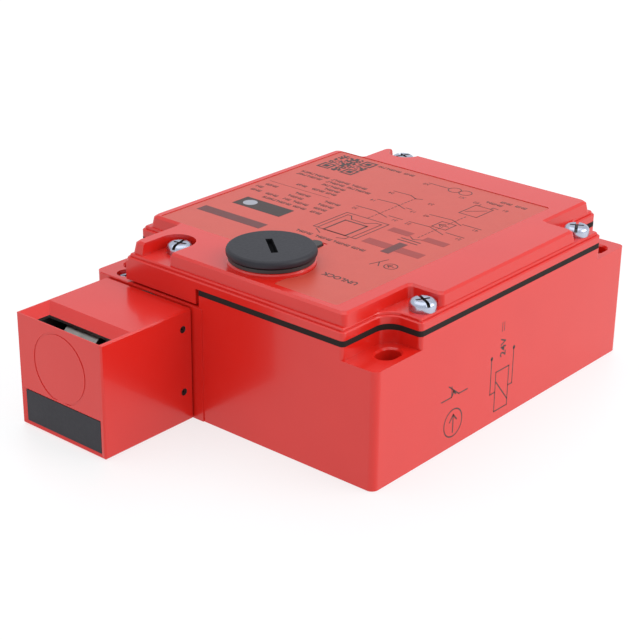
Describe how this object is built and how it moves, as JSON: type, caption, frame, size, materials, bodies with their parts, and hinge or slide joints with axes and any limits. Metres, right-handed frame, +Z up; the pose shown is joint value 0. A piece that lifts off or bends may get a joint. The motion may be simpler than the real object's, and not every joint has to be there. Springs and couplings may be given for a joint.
{
  "type": "tongue interlock switch",
  "caption": "Guard-locking tongue interlock switch: flat red metal case with notched screw-down cover, side tongue head, coin-slot release cap and rear cable entries.",
  "frame": {"origin": "centre of the footprint's box on the mounting face", "axes": "+X away from the tongue head along the switch, +Y across it towards the head's side, +Z up out of the mounting face"},
  "size_m": [0.146, 0.098, 0.0484],
  "materials": {
    "red_paint": "gloss red enamel on die-cast alloy, light orange peel",
    "label_film": "matte red printed film",
    "black_plastic": "fine matt moulded",
    "black_rubber": "moulded rubber",
    "zinc": "bright zinc plate, faint blue",
    "steel": "bright",
    "spring_steel": "drawn wire",
    "brass": "satin",
    "silver_contact": "satin silver alloy",
    "white_plastic": "moulded polyamide",
    "grey_plastic": "moulded phenolic",
    "copper_winding": "enamelled wire under tape"
  },
  "bodies": {
    "body": {"armature_spring": "spring_steel", "cam_axle": "steel", "cap_seal_strap": "black_rubber", "coil_bobbin": "white_plastic", "coil_terminal_block": "white_plastic", "coil_terminal_screws": "zinc", "coil_winding": "copper_winding", "contact_base": "grey_plastic", "contact_base_screws": "zinc", "cover": "red_paint", "cover_gasket": "black_rubber", "cover_screws": "zinc", "earth_clamp": "brass", "earth_screw": "brass", "fixed_contacts": "brass", "head_base_plate": "zinc", "head_casing": "red_paint", "head_gasket": "black_rubber", "head_lock_screw": "zinc", "head_pins": "spring_steel", "head_spigot": "steel", "housing": "red_paint", "label": "label_film", "lever_pivot_pin": "steel", "plunger_bush": "brass", "plunger_spring": "spring_steel", "pole_piece": "steel", "slider_spring": "spring_steel", "slot_guard": "steel", "slot_plug": "black_plastic", "solenoid_screws": "zinc", "solenoid_yoke": "zinc", "spigot_screws": "zinc", "terminal_clamps": "zinc", "terminal_screws": "zinc"},
    "cap": {"unlock_cap": "black_plastic"},
    "spindle": {"unlock_spindle": "brass", "spindle_circlip": "spring_steel"},
    "cam": {"cam_rotor": "steel"},
    "plunger_rod": {"plunger": "steel"},
    "contact_carrier": {"contact_slider": "white_plastic", "contact_bridges": "silver_contact"},
    "armature_core": {"armature": "steel", "armature_pin": "steel"},
    "lever": {"locking_lever": "steel"}
  },
  "joints": [
    {"name": "cap_turn", "type": "hinge", "parent": "body", "child": "cap", "pos_m": [-0.0254, -0.0017, 0.044], "axis": [0, 0, 1], "range_deg": [0, 90]},
    {"name": "spindle_turn", "type": "hinge", "parent": "body", "child": "spindle", "pos_m": [-0.0254, -0.0017, 0.02], "axis": [0, 0, 1], "range_deg": [0, 90]},
    {"name": "cam_turn", "type": "hinge", "parent": "body", "child": "cam", "pos_m": [-0.0575, 0.028, 0.018], "axis": [0, -1, 0], "range_deg": [0, 60]},
    {"name": "plunger_slide", "type": "slide", "parent": "body", "child": "plunger_rod", "axis": [-1, 0, 0], "range_m": [0, 0.0046], "deforming": ["plunger_spring"]},
    {"name": "carrier_slide", "type": "slide", "parent": "body", "child": "contact_carrier", "axis": [-1, 0, 0], "range_m": [0, 0.0046], "deforming": ["slider_spring"]},
    {"name": "armature_slide", "type": "slide", "parent": "body", "child": "armature_core", "axis": [1, 0, 0], "range_m": [0, 0.0045], "stiffness_N_per_m": 400, "springref_m": -0.004, "deforming": ["armature_spring"]},
    {"name": "lever_swing", "type": "hinge", "parent": "body", "child": "lever", "pos_m": [-0.008, 0, 0.017], "axis": [0, 0, 1], "range_deg": [0, 12.2]}
  ],
  "couplings": [
    {"joint": "plunger_slide", "follows": "cam_turn", "m_per_rad": 0.0042972},
    {"joint": "carrier_slide", "follows": "cam_turn", "m_per_rad": 0.0042972},
    {"joint": "lever_swing", "follows": "armature_slide", "rad_per_m": 46.083}
  ]
}
